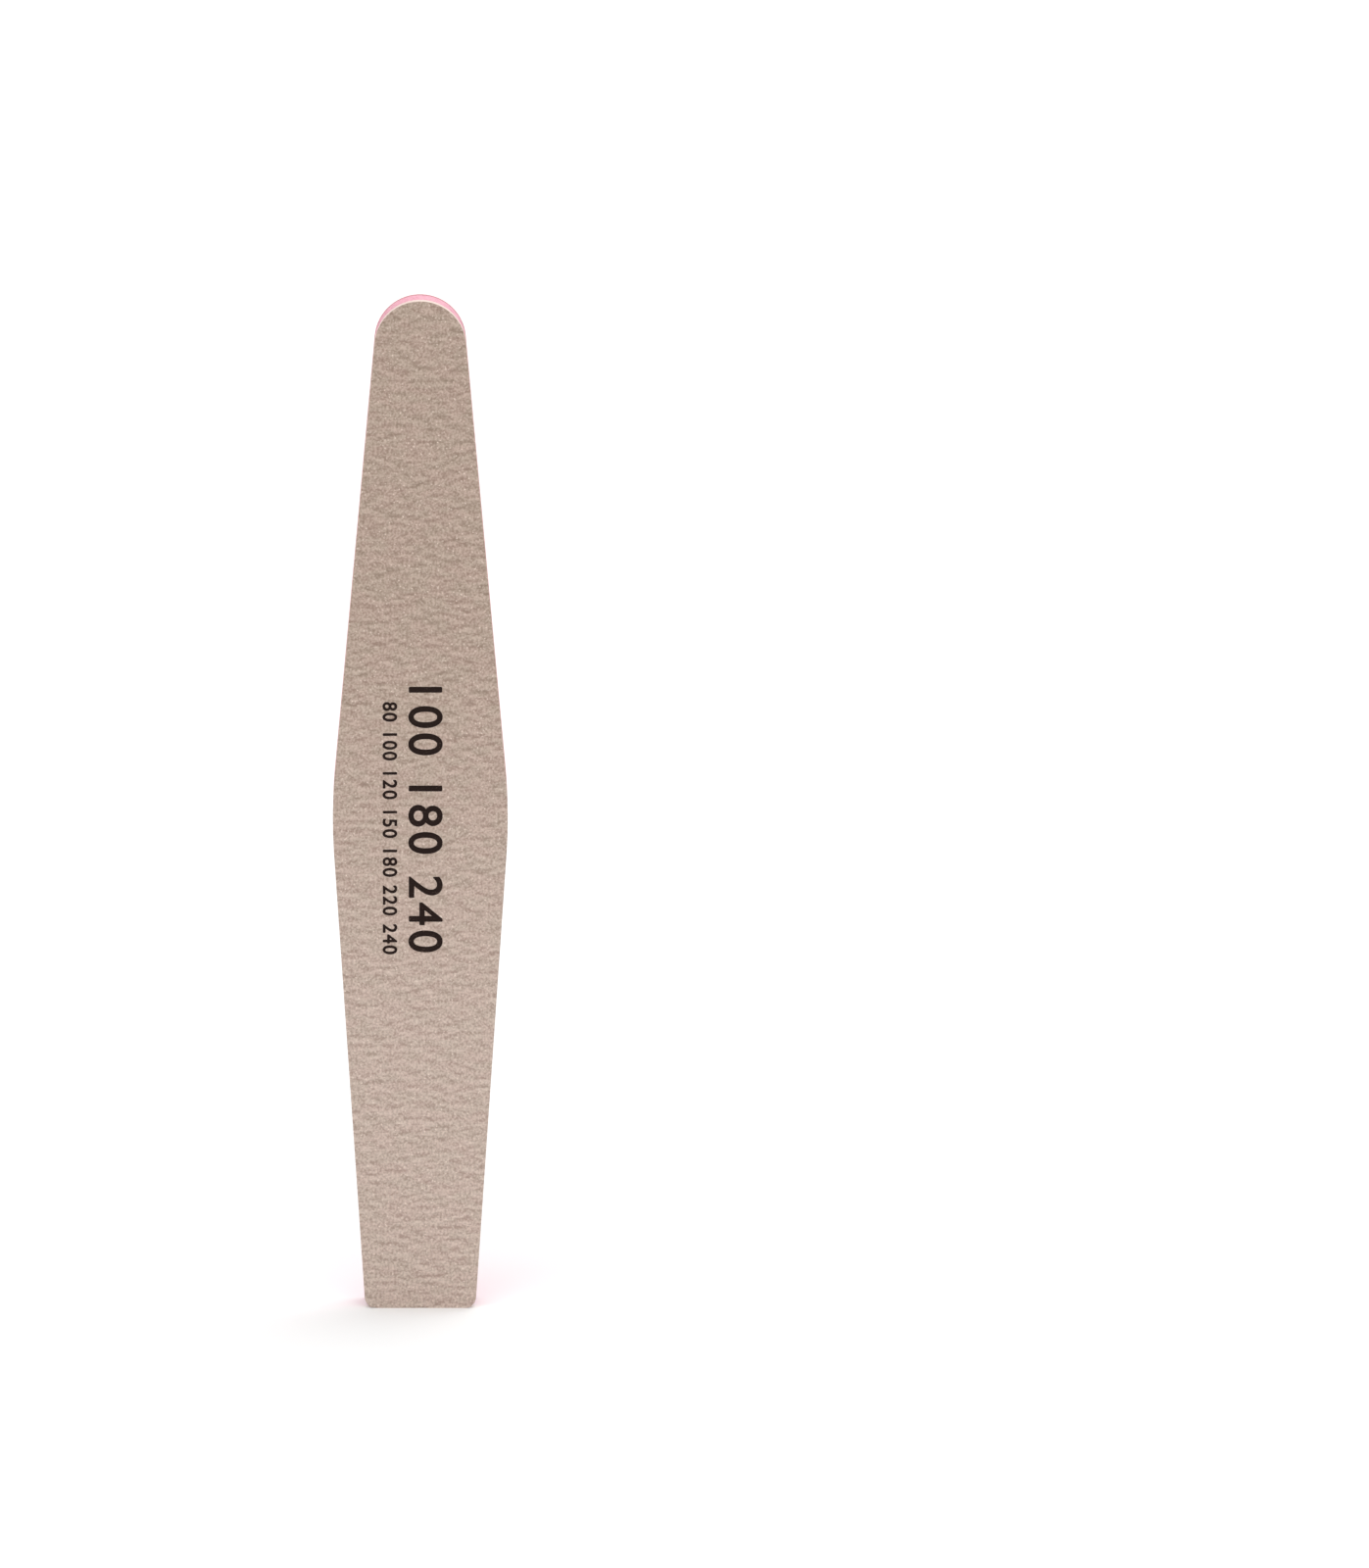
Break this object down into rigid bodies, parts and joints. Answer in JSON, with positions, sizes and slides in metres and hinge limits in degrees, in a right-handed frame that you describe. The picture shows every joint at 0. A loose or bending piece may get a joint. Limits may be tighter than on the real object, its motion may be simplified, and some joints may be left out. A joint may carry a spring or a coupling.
{
  "type": "nail buffer block",
  "caption": "Long diamond-shaped hand buffer with a foam core, a striped abrasive sheet on the front and finer abrasive sheets on the back, for filing and buffing nails.",
  "frame": {"origin": "middle of the square end, which is the lowest face", "axes": "+Z from the square end to the round tip, +X across the width, -Y out of the front with its one long abrasive sheet, +Y out of the back with its two short sheets"},
  "size_m": [0.0304, 0.01, 0.178],
  "materials": {
    "zebra_grit": "matte abrasive grain in resin, taupe, striped crosswise",
    "backing_paper": "matte, latex-saturated",
    "tape": "clear acrylic adhesive",
    "cream_board": "matte, die-cut edge",
    "pink_foam": "closed-cell foam, die-cut edge",
    "light_pink_film": "matte",
    "light_pink_grit": "matte abrasive grain in resin, light pink, mottled",
    "hot_pink_film": "satin",
    "hot_pink_grit": "satin, very fine grain in resin, hot pink"
  },
  "bodies": {
    "root": {"front_grit_coat": "zebra_grit", "front_backing_paper": "backing_paper", "front_tape": "tape", "stiffener_board": "cream_board", "board_tape": "tape", "foam_cushion": "pink_foam", "medium_tape": "tape", "medium_backing_film": "light_pink_film", "medium_grit_coat": "light_pink_grit", "fine_tape": "tape", "fine_backing_film": "hot_pink_film", "fine_grit_coat": "hot_pink_grit"}
  },
  "joints": []
}
